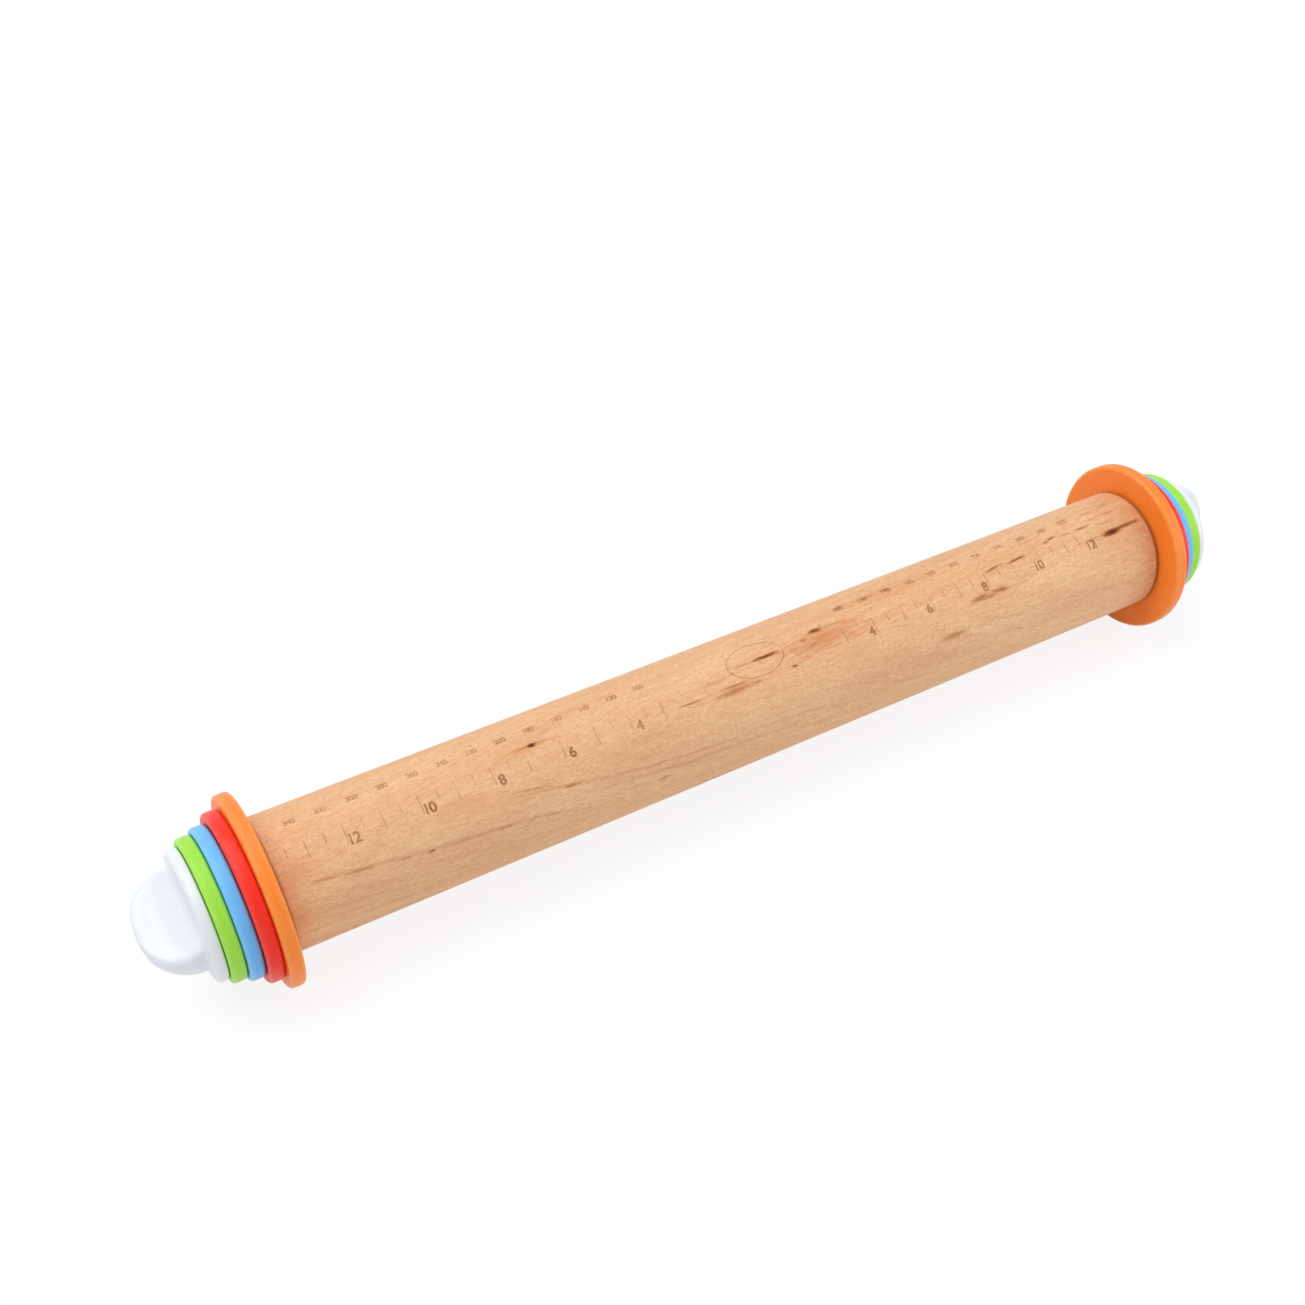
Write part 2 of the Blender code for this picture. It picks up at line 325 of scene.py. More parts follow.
cameraSet = {
    "focalPixels": 1628.1,
    "framePixels": 1305,
    "sensorWidth": 36.0,
    "yaw": 31.07,            # degrees
    "elevation": 44.11,
    "distance": 583.5 * mm,
    "aimRight": 16.6 * mm,   # how far right of the lens's axis, and how far up, the pin's middle lies
    "aimUp": 34.8 * mm,
    "axisPixelX": 693.7,     # where the lens's axis meets the frame
    "axisPixelY": 795.5,
    "nearest": 10 * mm,
}


def makeCamera(setup):
    yaw = math.radians(setup["yaw"])
    rise = math.radians(setup["elevation"])
    look = Vector((math.sin(yaw) * math.cos(rise), math.cos(yaw) * math.cos(rise), -math.sin(rise)))
    right = look.cross(Vector((0, 0, 1))).normalized()
    up = right.cross(look)
    place = -look * setup["distance"] - right * setup["aimRight"] - up * setup["aimUp"]
    data = bpy.data.cameras.new("photoCamera")
    data.sensor_width = setup["sensorWidth"]
    data.lens = setup["focalPixels"] / setup["framePixels"] * setup["sensorWidth"]
    data.shift_x = 0.5 - setup["axisPixelX"] / setup["framePixels"]
    data.shift_y = setup["axisPixelY"] / setup["framePixels"] - 0.5
    data.clip_start = setup["nearest"]
    camera = newObject("photoCamera", data)
    turn = Matrix((right, up, -look)).transposed().to_4x4()
    camera.matrix_world = Matrix.Translation(place) @ turn
    bpy.context.scene.camera = camera


studioSet = {
    "floorSize": 6.0,
    "floorColour": srgb(234, 234, 235),
    "floorRoughness": 0.8,
    "litShare": 0.2,         # how much of the floor in view is lit surface, which keeps the shadow
    "nearGlow": 1.06,        # of the rest of it, which is plain white
    "farGlow": 1.15,         # more, because less light falls on the floor far off
    "farStart": 0.45,
    "farEnd": 1.6,
    "skyFill": 0.57,
    "lamps": {               # watts, width, place
        "softboxTop": (15.5, 1.4, (-0.5, 0.25, 1.5)),
        "softboxSide": (1.5, 0.5, (0.7, -0.52, 0.3)),
    },
}


def seenMask(tree):
    # 1 for what is seen, directly or in a reflection, and 0 for what only lights the pin
    rays = addNode(tree, "ShaderNodeLightPath").outputs
    seen = calc("MAXIMUM", rays["Is Camera Ray"], rays["Is Glossy Ray"])
    return calc("MAXIMUM", seen, rays["Is Transmission Ray"])


def makeFloor(setup):
    half = setup["floorSize"] / 2
    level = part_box("left_ring_orange")[0].z
    builder = bmesh.new()
    spots = ((-half, -half), (half, -half), (half, half), (-half, half))
    builder.faces.new([builder.verts.new((x, y, level)) for x, y in spots])
    plain = {"Base Color": setup["floorColour"], "Roughness": setup["floorRoughness"]}
    material, tree, shader = newMaterial("studioFloor", plain)
    away = vectorCalc("LENGTH", objectPlace(tree))
    glows = (setup["nearGlow"], setup["farGlow"])
    strength = remap(away, setup["farStart"], setup["farEnd"], *glows, smooth=True)
    glow = put(tree, "ShaderNodeEmission", {"Color": white, "Strength": strength})
    share = times(seenMask(tree), 1 - setup["litShare"])
    mixed = put(tree, "ShaderNodeMixShader", {0: share, 1: shader.outputs[0], 2: glow})
    feed(tree.nodes["Material Output"], {"Surface": mixed})
    floor = meshObject("studioFloor", builder, material)


def makeSky(setup):
    world = bpy.data.worlds.new("studioSky")
    bpy.context.scene.world = world
    world.use_nodes = True
    tree = world.node_tree
    strength = remap(seenMask(tree), 0.0, 1.0, setup["skyFill"], 1.0)
    feed(tree.nodes["Background"], {"Color": white, "Strength": strength})


def makeLamp(name, power, width, place):
    data = bpy.data.lights.new(name, "AREA")
    data.energy = power
    data.size = width
    lamp = newObject(name, data)
    lamp.location = place
    lamp.rotation_euler = (-Vector(place)).to_track_quat("-Z", "Y").to_euler()


bpy.context.scene.view_settings.view_transform = "Standard"
makeCamera(cameraSet)
makeFloor(studioSet)
makeSky(studioSet)
for lampName, lampValues in studioSet["lamps"].items():
    makeLamp(lampName, *lampValues)
print("studio ready")


# Places that several pieces share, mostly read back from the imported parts

barrelRadius = 23 * mm
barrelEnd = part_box("barrel")[1].x
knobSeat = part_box("right_knob_cap")[0].x - barrelEnd
endFrames = {
    "left": Matrix.Translation((-barrelEnd, 0, 0)) @ Matrix.Rotation(math.pi, 4, "Z"),
    "right": Matrix.Translation((barrelEnd, 0, 0)),
}
knobFrames = {side: frame @ Matrix.Translation((knobSeat, 0, 0)) for side, frame in endFrames.items()}


# Beech: growth rings of a log whose pith runs aslant under the barrel, ray flecks, fibres and marks, with
# painted shade and orange reflection of the rings near the barrel's ends

beechSet = {
    "pithTurn": 50.0,        # where the flat-sawn face looks, degrees above the front
    "pithDistance": 52.0,    # mm
    "pithTilt": 0.08,        # rise of the pith along the barrel
    "ringSpacing": 3.1,      # mm
    "ringBends": (           # noise scales from the pith, round it and along, detail, roughness, reach
        ((0.1, 0.06, 0.006), 2.0, 0.5, 5.0),
        ((0.8, 0.5, 0.05), 3.0, 0.6, 1.1),
    ),
    "lateWood": 4.0,         # a higher power makes the dark side of a ring narrower
    "ringEdge": 0.9,         # where in a ring its dark side starts to fall off
    "ringBreaks": ((0.5, 0.4, 0.03), 3.0, 0.6, 0.38, 0.62),
    "noises": {              # scales, detail, roughness, the noise that gives 0 and 1, smooth or not
        "Fibre": ((1.5, 1.5, 0.3), 4.0, 0.75, 0.34, 0.66, False),
        "Pore": ((5.5, 5.5, 0.35), 3.0, 0.6, 0.36, 0.7, False),
        "Cloud": ((0.16, 0.09, 0.013), 4.0, 0.55, 0.3, 0.7),
        "Band": ((0.42, 0.3, 0.02), 3.0, 0.55, 0.35, 0.68),
        "Streak": ((0.9, 0.7, 0.035), 3.0, 0.6, 0.6, 0.78),
    },
    "flecks": {              # cells per mm, reach of a fleck in its cell, share of empty cells
        "Fleck": ((1.1, 2.3, 0.6), 0.5, 0.1),
        "Dash": ((0.25, 1.2, 0.2), 0.3, 0.72),
    },
    "fleckWobble": ((0.3, 0.3, 0.12), 1.0),
    "fleckCore": 0.3,        # share of its reach in which a fleck is at full strength
    "darkRagged": ((0.5, 2.4, 1), 5.0, 0.7),
    "blushAndReflectionRagged": ((0.13, 1.1, 1), 4.0, 0.65, 0.28, 0.72, False),
    "raggedness": 1.7,
    "markRim": 1.25,         # where a mark starts, and where it is full, in its half sizes
    "markCore": 0.2,
    "light": srgb(248, 206, 160),
    "middle": srgb(240, 192, 148),
    "deep": srgb(206, 146, 100),
    "fleck": srgb(176, 116, 72),
    "brown": srgb(180, 112, 60),
    "stain": srgb(98, 36, 6),
    # the wood's blush, also the colour of the painted ring reflection at the barrel's ends
    "blushAndReflection": srgb(210, 128, 76),
    # painted shade and orange reflection of the rings on the wood at the barrel's ends, darker still on
    # the rounded end edge
    "endShadeAndReflection": srgb(198, 142, 96),
    "endEdgeShadeAndReflection": srgb(136, 70, 30),
    "layers": (              # mask, strength and colour, each laid over those before it
        ("Band", 0.14, "deep"),
        ("Ring", 0.42, "deep"),
        ("Fibre", 0.46, "deep"),
        ("Pore", 0.16, "deep"),
        ("BlushAndReflection", 0.75, "blushAndReflection"),
        ("Streak", 0.35, "blushAndReflection"),
        ("Fleck", 0.42, "fleck"),
        ("Dash", 0.3, "fleck"),
        # the last two layers are painted shade and orange reflection of the rings at the barrel's ends
        ("EndShadeAndReflection", 0.75, "endShadeAndReflection"),
        ("EndEdgeShadeAndReflection", 0.68, "endEdgeShadeAndReflection"),
    ),
    "markLayers": (          # strength of mark at which it starts and is full, its most, and colour
        (0.0, 0.6, 0.9, "brown"),
        (0.35, 1.05, 0.95, "stain"),
    ),
    "endShadeWidth": 2.0,         # mm of painted shade and orange reflection of the rings at the barrel's ends, and what it takes to fade in
    "endFade": 1.2,
    "rimShadeFade": 0.6,
    "specular": 0.16,
    "roughness": 0.46,
    "poreRoughness": 0.12,
    "markRoughness": 0.12,
    "poreDepth": 0.3,
    "depths": {"Fibre": 0.25, "Fleck": 0.2, "Dark": 0.8},
    "bumpStrength": 0.35,
    "bumpDepth": 0.08 * mm,
}

# Marks of the wood: x in mm, degrees above the front, half length and half width in mm, slope, strength
darkMarks = [
    (-85.2, 74.5, 1.9, 0.95, 0, 1.2), (-85.5, 74.4, 8, 0.7, 0, 0.42), (-128.8, 23.3, 1.9, 0.7, 0, 0.55),
    (-103.5, 18.4, 4.6, 0.6, -2, 0.42), (-78, 30.4, 4.2, 0.6, -6, 0.5), (-91, 39.5, 8, 0.55, -9, 0.35),
    (-137.5, 26.2, 3.8, 0.55, -5, 0.4), (-152, 31, 6.5, 0.8, -4, 0.4), (-163, 34.5, 6, 0.7, -9, 0.32),
    (-118, 21.2, 7, 0.6, -3, 0.32), (-87, 13, 4, 0.6, -8, 0.35), (-92.6, 16, 2, 0.5, 0, 0.35),
    (-147, 30.5, 24, 0.9, -7, 0.2), (-108, 19.5, 24, 0.9, -6, 0.2), (-82, 33, 18, 0.8, -9, 0.22),
    (-58, 23, 16, 0.8, -7, 0.2), (-45, 12, 24, 0.8, -6, 0.18), (-20, 8, 22, 0.7, -4, 0.16),
    (10, 12, 20, 0.6, -4, 0.14), (-46.5, 19.6, 5.5, 0.6, 0, 0.32), (-31, 16.2, 18, 0.5, -4, 0.26),
    (-44.5, 3.6, 2.8, 0.8, 0, 0.4), (-28, 57.2, 6.2, 0.55, -1, 0.5), (-10.5, 57.6, 6.6, 0.6, -1, 0.45),
    (-11, 53.2, 9.2, 1.4, 1, 0.42), (-17.5, 66.5, 6.6, 0.45, 0, 0.22), (-2, 53.4, 2.3, 0.7, 0, 0.36),
    (5.4, 72.5, 6.6, 0.85, 0, 0.9), (-3, 72.3, 6.8, 0.5, 0, 0.32), (13.8, 54.2, 1.6, 0.7, 0, 0.62),
    (21.5, 73.5, 1.9, 0.7, 0, 0.45), (17, 69, 2.4, 0.6, 3, 0.3), (24, 66, 3.4, 0.5, 14, 0.3),
    (29, 70.5, 3, 0.5, 16, 0.28), (27.6, 78.7, 3.6, 1.15, 0, 0.85), (33.5, 78.4, 6.6, 0.7, 0, 0.36),
    (30.2, 82, 1.9, 0.5, 25, 0.36), (42, 94, 2.6, 0.9, 8, 0.4), (54, 93.2, 4, 0.7, 3, 0.34),
    (62.5, 94, 2.8, 1.1, 0, 0.42), (79, 26.6, 7.4, 1.6, 0, 0.42), (94.5, 49.6, 4.8, 1.2, 4, 0.52),
    (98, 47.8, 5, 0.7, 0, 0.45), (104, 50, 5, 0.9, -4, 0.55), (105.2, 71.6, 5, 0.6, 8, 0.6),
    (110, 72.7, 3, 0.45, -6, 0.35), (117, 71.7, 5.6, 0.65, 4, 0.65), (132.6, 77.2, 2.2, 0.7, 4, 0.55),
    (135.6, 79.2, 2.4, 0.7, 4, 0.6), (150, 77.5, 4.4, 0.7, 0, 0.5), (142, 77.6, 3.6, 0.5, 0, 0.3),
    (126, 86, 6, 0.5, 5, 0.26), (156.5, 83, 3.4, 0.6, 0, 0.3), (165.5, 83, 4, 0.6, 4, 0.3),
    (161, 74, 5, 0.45, 2, 0.26), (146, 96, 4, 0.7, 4, 0.34), (157, 93, 3.6, 0.6, 4, 0.28),
    (166, 95, 3.6, 0.6, 4, 0.28), (160.8, 62.3, 5.4, 1.5, 1, 1.15), (168, 63.8, 8.4, 1.05, 0, 0.7),
    (150, 63, 8, 0.4, 0, 0.26),
]
# Blush marks: those centred 170 mm or more from the middle are painted orange reflection and shade of the
# rings, the rest are the wood's own pink tone
blushAndReflectionMarks = [
    (29, 68, 20, 5, 3, 0.8), (52, 66, 16, 3.4, 0, 0.35), (62, 90, 30, 4, 2, 0.5),
    (92, 78, 66, 8, 0, 0.26), (-8, 54, 16, 2.2, 0, 0.4), (160, 61, 14, 3.5, 0, 0.4),
    (101, 48, 15, 2.2, 0, 0.3), (-115, 45, 20, 4, -4, 0.3), (-172, 50, 10, 8, 0, 0.35),
    (-178, 25, 8, 22, 0, 0.45), (-86, 72.5, 12, 2, 0, 0.4), (179, 50, 11, 30, 0, 0.6),
    (176, 60, 24, 28, 0, 0.34),
]


def beechPlaceGroup(setup):
    # Turns a place on the barrel into log directions (from the pith, round it, along) and unrolled ones
    outputs = {"Log": "Vector", "Unrolled": "Vector"}
    tree, given, result = newGroup("beechPlace", "Shader", {"Place": "Vector"}, outputs)
    place = toMm(given["Place"])
    parts = splitXYZ(place)
    turn = math.radians(setup["pithTurn"])
    up = (setup["pithTilt"], -math.cos(turn), math.sin(turn))
    outward = plus(vectorCalc("DOT_PRODUCT", place, up), setup["pithDistance"])
    across = vectorCalc("DOT_PRODUCT", place, (0, math.sin(turn), math.cos(turn)))
    distance = vectorCalc("LENGTH", joinXYZ(outward, across))
    tangent = times(calc("ARCTAN2", across, outward), setup["pithDistance"])
    front = times(parts[1], -1.0)
    rolled = times(calc("ARCTAN2", parts[2], front), barrelRadius / mm)
    feed(result, {
        "Log": joinXYZ(distance, tangent, parts[0]),
        "Unrolled": joinXYZ(parts[0], rolled),
    })
    return tree


def fleckMask(log, cells, reach, empty, setup):
    # Short dashes along the grain: the middles of stretched cells, each with its own strength
    wobble = joinXYZ(y=noise(log, *setup["fleckWobble"]))
    place = vectorCalc("ADD", vectorCalc("MULTIPLY", log, cells), wobble)
    sockets = {"Vector": place, "Scale": 1.0, "Randomness": 1.0}
    spots = addNode(treeOf(log), "ShaderNodeTexVoronoi", sockets)
    chosen = put(treeOf(log), "ShaderNodeSeparateColor", {0: spots.outputs["Color"]})
    shape = remap(spots.outputs["Distance"], reach, reach * setup["fleckCore"], smooth=True)
    return times(shape, remap(chosen, empty, 1.0))


def beechGrainGroup(setup):
    # Masks of the wood's figure, all from 0 to 1
    outputs = dict.fromkeys(("Ring", *setup["flecks"], *setup["noises"]), "Float")
    tree, given, result = newGroup("beechGrain", "Shader", {"Log": "Vector"}, outputs)
    log = given["Log"]
    phase = over(splitXYZ(log)[0], setup["ringSpacing"])
    for scales, detail, roughness, reach in setup["ringBends"]:
        phase = plus(phase, times(noise(log, scales, detail, roughness), reach))
    rising = calc("FRACT", phase)
    edge = remap(rising, 1.0, setup["ringEdge"], smooth=True)
    late = times(calc("POWER", rising, setup["lateWood"]), edge)
    masks = {"Ring": times(late, noiseMask(log, *setup["ringBreaks"]))}
    for name, values in setup["flecks"].items():
        masks[name] = fleckMask(log, *values, setup)
    for name, values in setup["noises"].items():
        masks[name] = noiseMask(log, *values)
    feed(result, masks)
    return tree


def woodMarkGroup(setup):
    # One long ragged mark on the unrolled surface
    inputs = {
        "Unrolled": "Vector",
        "Ragged": "Float",
        "Centre": "Vector",
        "Half Size": "Vector",
        "Slope": "Float",
        "Strength": "Float",
    }
    tree, given, result = newGroup("woodMark", "Shader", inputs, {"Mask": "Float"})
    away = vectorCalc("SUBTRACT", given["Unrolled"], given["Centre"])
    sockets = {"Vector": away, "Angle": given["Slope"]}
    turned = put(tree, "ShaderNodeVectorRotate", sockets, rotation_type="Z_AXIS")
    reach = vectorCalc("LENGTH", vectorCalc("DIVIDE", turned, given["Half Size"]))
    reach = plus(reach, times(minus(given["Ragged"], 0.5), setup["raggedness"]))
    mask = remap(reach, setup["markRim"], setup["markCore"], smooth=True)
    feed(result, {"Mask": times(mask, given["Strength"])})
    return tree


def strongestMark(group, marks, unrolled, ragged):
    strongest = 0.0
    for x, degrees, halfLength, halfWidth, slope, strength in marks:
        mask = useGroup(treeOf(unrolled), group, {
            "Unrolled": unrolled,
            "Ragged": ragged,
            "Centre": (x, math.radians(degrees) * barrelRadius / mm, 0),
            "Half Size": (halfLength, halfWidth, 1),
            "Slope": math.radians(-slope),
            "Strength": strength,
        })["Mask"]
        strongest = calc("MAXIMUM", strongest, mask)
    return strongest


def beechSurfaceGroup(setup):
    # The whole surface of the wood, which the bare barrel and the print on it share
    outputs = {"Colour": "Color", "Roughness": "Float", "Height": "Float"}
    tree, given, result = newGroup("beechSurface", "Shader", {"Place": "Vector"}, outputs)
    places = useGroup(tree, beechPlaceGroup(setup), {"Place": given["Place"]})
    grain = useGroup(tree, beechGrainGroup(setup), {"Log": places["Log"]})
    masks = dict(grain.items())
    unrolled = places["Unrolled"]
    markGroup = woodMarkGroup(setup)
    ragged = noise(unrolled, *setup["darkRagged"])
    dark = strongestMark(markGroup, darkMarks, unrolled, ragged)
    masks["Dark"] = dark
    # Blush of the wood, and painted orange reflection and shade of the rings near the barrel's ends
    ragged = noiseMask(unrolled, *setup["blushAndReflectionRagged"])
    masks["BlushAndReflection"] = strongestMark(markGroup, blushAndReflectionMarks, unrolled, ragged)
    along = calc("ABSOLUTE", splitXYZ(unrolled)[0])
    radial = vectorCalc("LENGTH", vectorCalc("MULTIPLY", given["Place"], (0, 1 / mm, 1 / mm)))
    # Painted shade and orange reflection of the rings near the barrel's ends, darkest on the rounded end
    # edge
    endStart = barrelEnd / mm - setup["endShadeWidth"]
    rimStart = barrelRadius / mm - setup["endShadeWidth"]
    rim = remap(radial, rimStart, rimStart + setup["rimShadeFade"], smooth=True)
    masks["EndShadeAndReflection"] = remap(along, endStart, endStart + setup["endFade"], smooth=True)
    masks["EndEdgeShadeAndReflection"] = times(masks["EndShadeAndReflection"], rim)

    colour = blendColours(masks["Cloud"], setup["light"], setup["middle"])
    for name, amount, tint in setup["layers"]:
        colour = blendColours(times(masks[name], amount), colour, setup[tint])
    for start, full, most, tint in setup["markLayers"]:
        colour = blendColours(remap(dark, start, full, 0.0, most), colour, setup[tint])
    rough = plus(times(masks["Pore"], setup["poreRoughness"]), setup["roughness"])
    rough = plus(rough, times(dark, setup["markRoughness"]))
    height = times(masks["Pore"], -setup["poreDepth"])
    for name, depth in setup["depths"].items():
        height = minus(height, times(masks[name], depth))
    feed(result, {"Colour": colour, "Roughness": rough, "Height": height})
    return tree


beechSurface = beechSurfaceGroup(beechSet)


def woodMaterial(name, setup):
    material, tree, shader = newMaterial(name, {"Specular IOR Level": setup["specular"]})
    place = objectPlace(tree)
    wood = useGroup(tree, beechSurface, {"Place": place})
    relief = {"Height": wood["Height"], "Strength": setup["bumpStrength"], "Distance": setup["bumpDepth"]}
    bump = put(tree, "ShaderNodeBump", relief)
    feed(shader, {"Base Color": wood["Colour"], "Roughness": wood["Roughness"], "Normal": bump})
    return material, shader, place, wood["Colour"]


beech = woodMaterial("oiledBeech", beechSet)[0]
print("beech ready")


# Moulded plastics: fine spark texture, faint flow lines, edges rubbed a little paler, which also paints a
# highlight on them

plasticSet = {
    "flow": ((0.5, 0.07, 0.07), 3.0, 0.55, 1.2),
    "flowStart": 0.35,
    "flowFull": 0.7,
    "spark": ((9, 9, 9), 2.0, 0.6),
    "scuffs": ((6.0, 0.5, 0.5), 4.0, 0.7),
    "scuffStart": 0.38,
    "scuffFull": 0.62,
    "scuffRoughness": 0.25,
    "wornGloss": 0.2,        # rubbed edges are so much less rough
    "scuffDepth": 0.4,
    "bumpDepth": 0.03 * mm,
    "ringFinish": (0.12, 0.42, 0.3, 0.5),  # flow lines, roughness, texture, wear with painted edge highlight
    "ringShine": {"Specular IOR Level": 0.32},
    "knobColours": (srgb(232, 237, 245), srgb(244, 247, 251)),
    "knobFinish": (0.2, 0.36, 0.05, 0.4),
    "knobShine": {"Coat Weight": 0.12, "Coat Roughness": 0.25},
    "nylonColours": (srgb(226, 222, 210), srgb(240, 238, 230)),
    "nylonFinish": (0.3, 0.38, 0.15, 0.4),
}
mouldedInputs = {            # of the group: two colours, then a finish in the order given above
    "Colour": "Color",
    "RubbedAndHighlight": "Color",
    "Flow": "Float",
    "Roughness": "Float",
    "Texture": "Float",
    "WearAndHighlight": "Float",
}


def mouldedGroup(setup):
    outputs = {"Colour": "Color", "Roughness": "Float", "Normal": "Vector"}
    tree, given, result = newGroup("mouldedPlastic", "Shader", mouldedInputs, outputs)
    place = toMm(objectPlace(tree))
    flow = noise(place, *setup["flow"])
    swirl = remap(flow, setup["flowStart"], setup["flowFull"], smooth=True)
    spark = noise(place, *setup["spark"])
    scuffs = noise(place, *setup["scuffs"])
    edge = addNode(tree, "ShaderNodeAttribute", attribute_name="edgeWearAndHighlight").outputs["Fac"]
    rubbed = remap(scuffs, setup["scuffStart"], setup["scuffFull"], smooth=True)
    # Edges are paled where they curve most, as wear and as a painted highlight
    wornAndHighlit = times(times(edge, rubbed), given["WearAndHighlight"])
    paler = calc("MAXIMUM", wornAndHighlit, times(swirl, given["Flow"]))
    uneven = times(minus(scuffs, 0.5), setup["scuffRoughness"])
    rough = plus(given["Roughness"], uneven)
    rough = calc("SUBTRACT", rough, times(wornAndHighlit, setup["wornGloss"]), clamp=True)
    height = plus(spark, times(scuffs, setup["scuffDepth"]))
    relief = {"Height": height, "Strength": given["Texture"], "Distance": setup["bumpDepth"]}
    feed(result, {
        "Colour": blendColours(paler, given["Colour"], given["RubbedAndHighlight"]),
        "Roughness": rough,
        "Normal": put(tree, "ShaderNodeBump", relief),
    })
    return tree


moulded = mouldedGroup(plasticSet)


def makePlastic(name, colours, finish, plain):
    material, tree, shader = newMaterial(name, plain)
    made = useGroup(tree, moulded, dict(zip(mouldedInputs, (*colours, *finish))))
    feed(shader, {"Base Color": made["Colour"], "Roughness": made["Roughness"], "Normal": made["Normal"]})
    return material


def makeRingPlastics(setup):
    made = {}
    for name, colours in ringColours.items():
        made[name] = makePlastic(name + "RingPlastic", colours, setup["ringFinish"], setup["ringShine"])
    return made


def makeKnobPlastics(setup):
    shine = setup["knobShine"]
    white = makePlastic("glossWhitePlastic", setup["knobColours"], setup["knobFinish"], shine)
    return white, makePlastic("naturalNylon", setup["nylonColours"], setup["nylonFinish"], {})


ringColours = {              # the plastic, and its rubbed edges, a colour that also paints their highlight
    "orange": (srgb(255, 133, 42), srgb(255, 184, 102)),
    "red": (srgb(251, 40, 24), srgb(255, 96, 78)),
    "blue": (srgb(106, 188, 254), srgb(164, 226, 255)),
    "green": (srgb(156, 226, 64), srgb(204, 252, 124)),
}
ringPlastics = makeRingPlastics(plasticSet)
knobWhite, nylon = makeKnobPlastics(plasticSet)
print("plastics ready")


# Barrel

barrelSet = {
    "edgeRound": 0.8 * mm,
    "roundSteps": 6,
    "sides": 224,
    "insertRadius": 12.3 * mm,
    "insertDepth": 43.3 * mm,
    "flangeRadius": 15.3 * mm,
    "flangeDepth": 2.3 * mm,
}


def makeBarrel(setup):
    edge = setup["edgeRound"]
    floor = barrelEnd - setup["insertDepth"]
    step = barrelEnd - setup["flangeDepth"]
    radius = setup["insertRadius"]
    flange = setup["flangeRadius"]
    right = [(floor, 0), (floor, radius), (step, radius), (step, flange), (barrelEnd, flange)]
    right += arc(barrelEnd - edge, barrelRadius - edge, edge, 0, 90, setup["roundSteps"])
    left = [(-x, radius) for x, radius in reversed(right)]
    return meshObject("barrelWood", turnedShape(right + left, setup["sides"]), beech)


barrelWood = makeBarrel(barrelSet)
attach(barrelWood, "barrel")
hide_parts("barrel")
print("barrel made")


# Rings

ringSet = {
    "rimRound": 1.1 * mm,
    "faceGrown": 0.07 * mm,  # narrows the gaps between the rings
    "boreRound": 0.3 * mm,
    "boreRadius": 8.5 * mm,
    "wornAndHighlitFace": 0.4 * mm,    # how far the wear and painted highlight of a corner reach onto the face
    "crown": 0.12 * mm,      # how much the rim falls away from its middle to the faces
    "roundSteps": 8,
    "boreSteps": 3,
    "sides": 192,
    "wearAndHighlightCurves": (0.2, 0.9),
}


def makeRing(side, colour, setup):
    node = side + "_ring_" + colour
    low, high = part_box("right_ring_" + colour)
    start = low.x - barrelEnd - setup["faceGrown"]
    thickness = high.x - low.x + 2 * setup["faceGrown"]
    radius = high.z
    rounding = setup["rimRound"]
    bore = setup["boreRadius"]
    small = setup["boreRound"]
    half = arc(small, bore + small, small, 270, 180, setup["boreSteps"])
    half += [(0, bore + small + setup["wornAndHighlitFace"]), (0, radius - rounding - setup["wornAndHighlitFace"])]
    half += arc(rounding, radius - rounding, rounding, 180, 90, setup["roundSteps"])
    profile = half + [(thickness / 2, radius)] + [(thickness - x, reach) for x, reach in reversed(half)]
    crowned = []
    for x, reach in profile:
        outside = (2 * x / thickness - 1) ** 2  # 0 at mid-rim, 1 at the faces
        lower = setup["crown"] * outside if reach > radius - rounding else 0
        crowned.append((start + x, reach - lower))
    name = side + "Ring" + colour.capitalize()
    ring = meshObject(name, turnedShape(crowned, setup["sides"]), ringPlastics[colour], endFrames[side])
    markEdges(ring, *setup["wearAndHighlightCurves"])
    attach(ring, side + "_" + colour)
    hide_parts(node)


for ringSide in endFrames:
    for ringName in ringColours:
        makeRing(ringSide, ringName, ringSet)
print("rings made")


# Knob caps: a round flange, and a dome cut by two dished faces that part towards the flange

capSet = {
    "flangeRadius": 22.5 * mm,
    "flangeThickness": 4 * mm,
    "innerRound": 0.8 * mm,
    "outerRound": 1.8 * mm,
    "innerSteps": 5,
    "outerSteps": 8,
    "flangeRows": (0.35, 0.7),  # rows between the flange's edge and the grip's foot, as shares
    "gripLength": 17 * mm,
    "gripHalfWidth": 17.5 * mm,
    "gripHalfThickness": 4.2 * mm,
    "gripEdge": 2.6 * mm,
    "edgeShare": 0.8,        # the edge takes at most this share of the half thickness
    "thickShare": 0.93,      # and the thickness at most this share of the width
    "outlinePower": 2.4,
    "outlineSteps": 721,
    "tipPower": 6,
    "fillet": 2 * mm,
    "filletRows": 9,
    "flare": 5.8 * mm,       # how much thicker each half of the grip is at its foot
    "flareLength": 13 * mm,
    "flarePower": 1.6,
    "hollowDepth": 0.5 * mm,
    "hollowBlend": 4 * mm,
    "wall": 2.2 * mm,
    "cavityRows": 9,
    "cavityPower": 4,
    "recessRadius": 19 * mm,
    "recessDepth": 2.3 * mm,
    "turn": {"left": -68, "right": 22},  # degrees that each grip is turned by from upright
    "sidePoints": 6,
    "edgePoints": 9,
    "facePoints": 14,
    "rows": 30,
    "cornerDegrees": 50,
    "wearAndHighlightCurves": (0.15, 0.6),
}


def gripHalfWidthAt(along, setup, inset=0.0):
    length = setup["gripLength"] - inset
    power = setup["outlinePower"]
    share = min(1, max(0, along / length))
    return (setup["gripHalfWidth"] - inset) * (1 - share ** power) ** (1 / power)


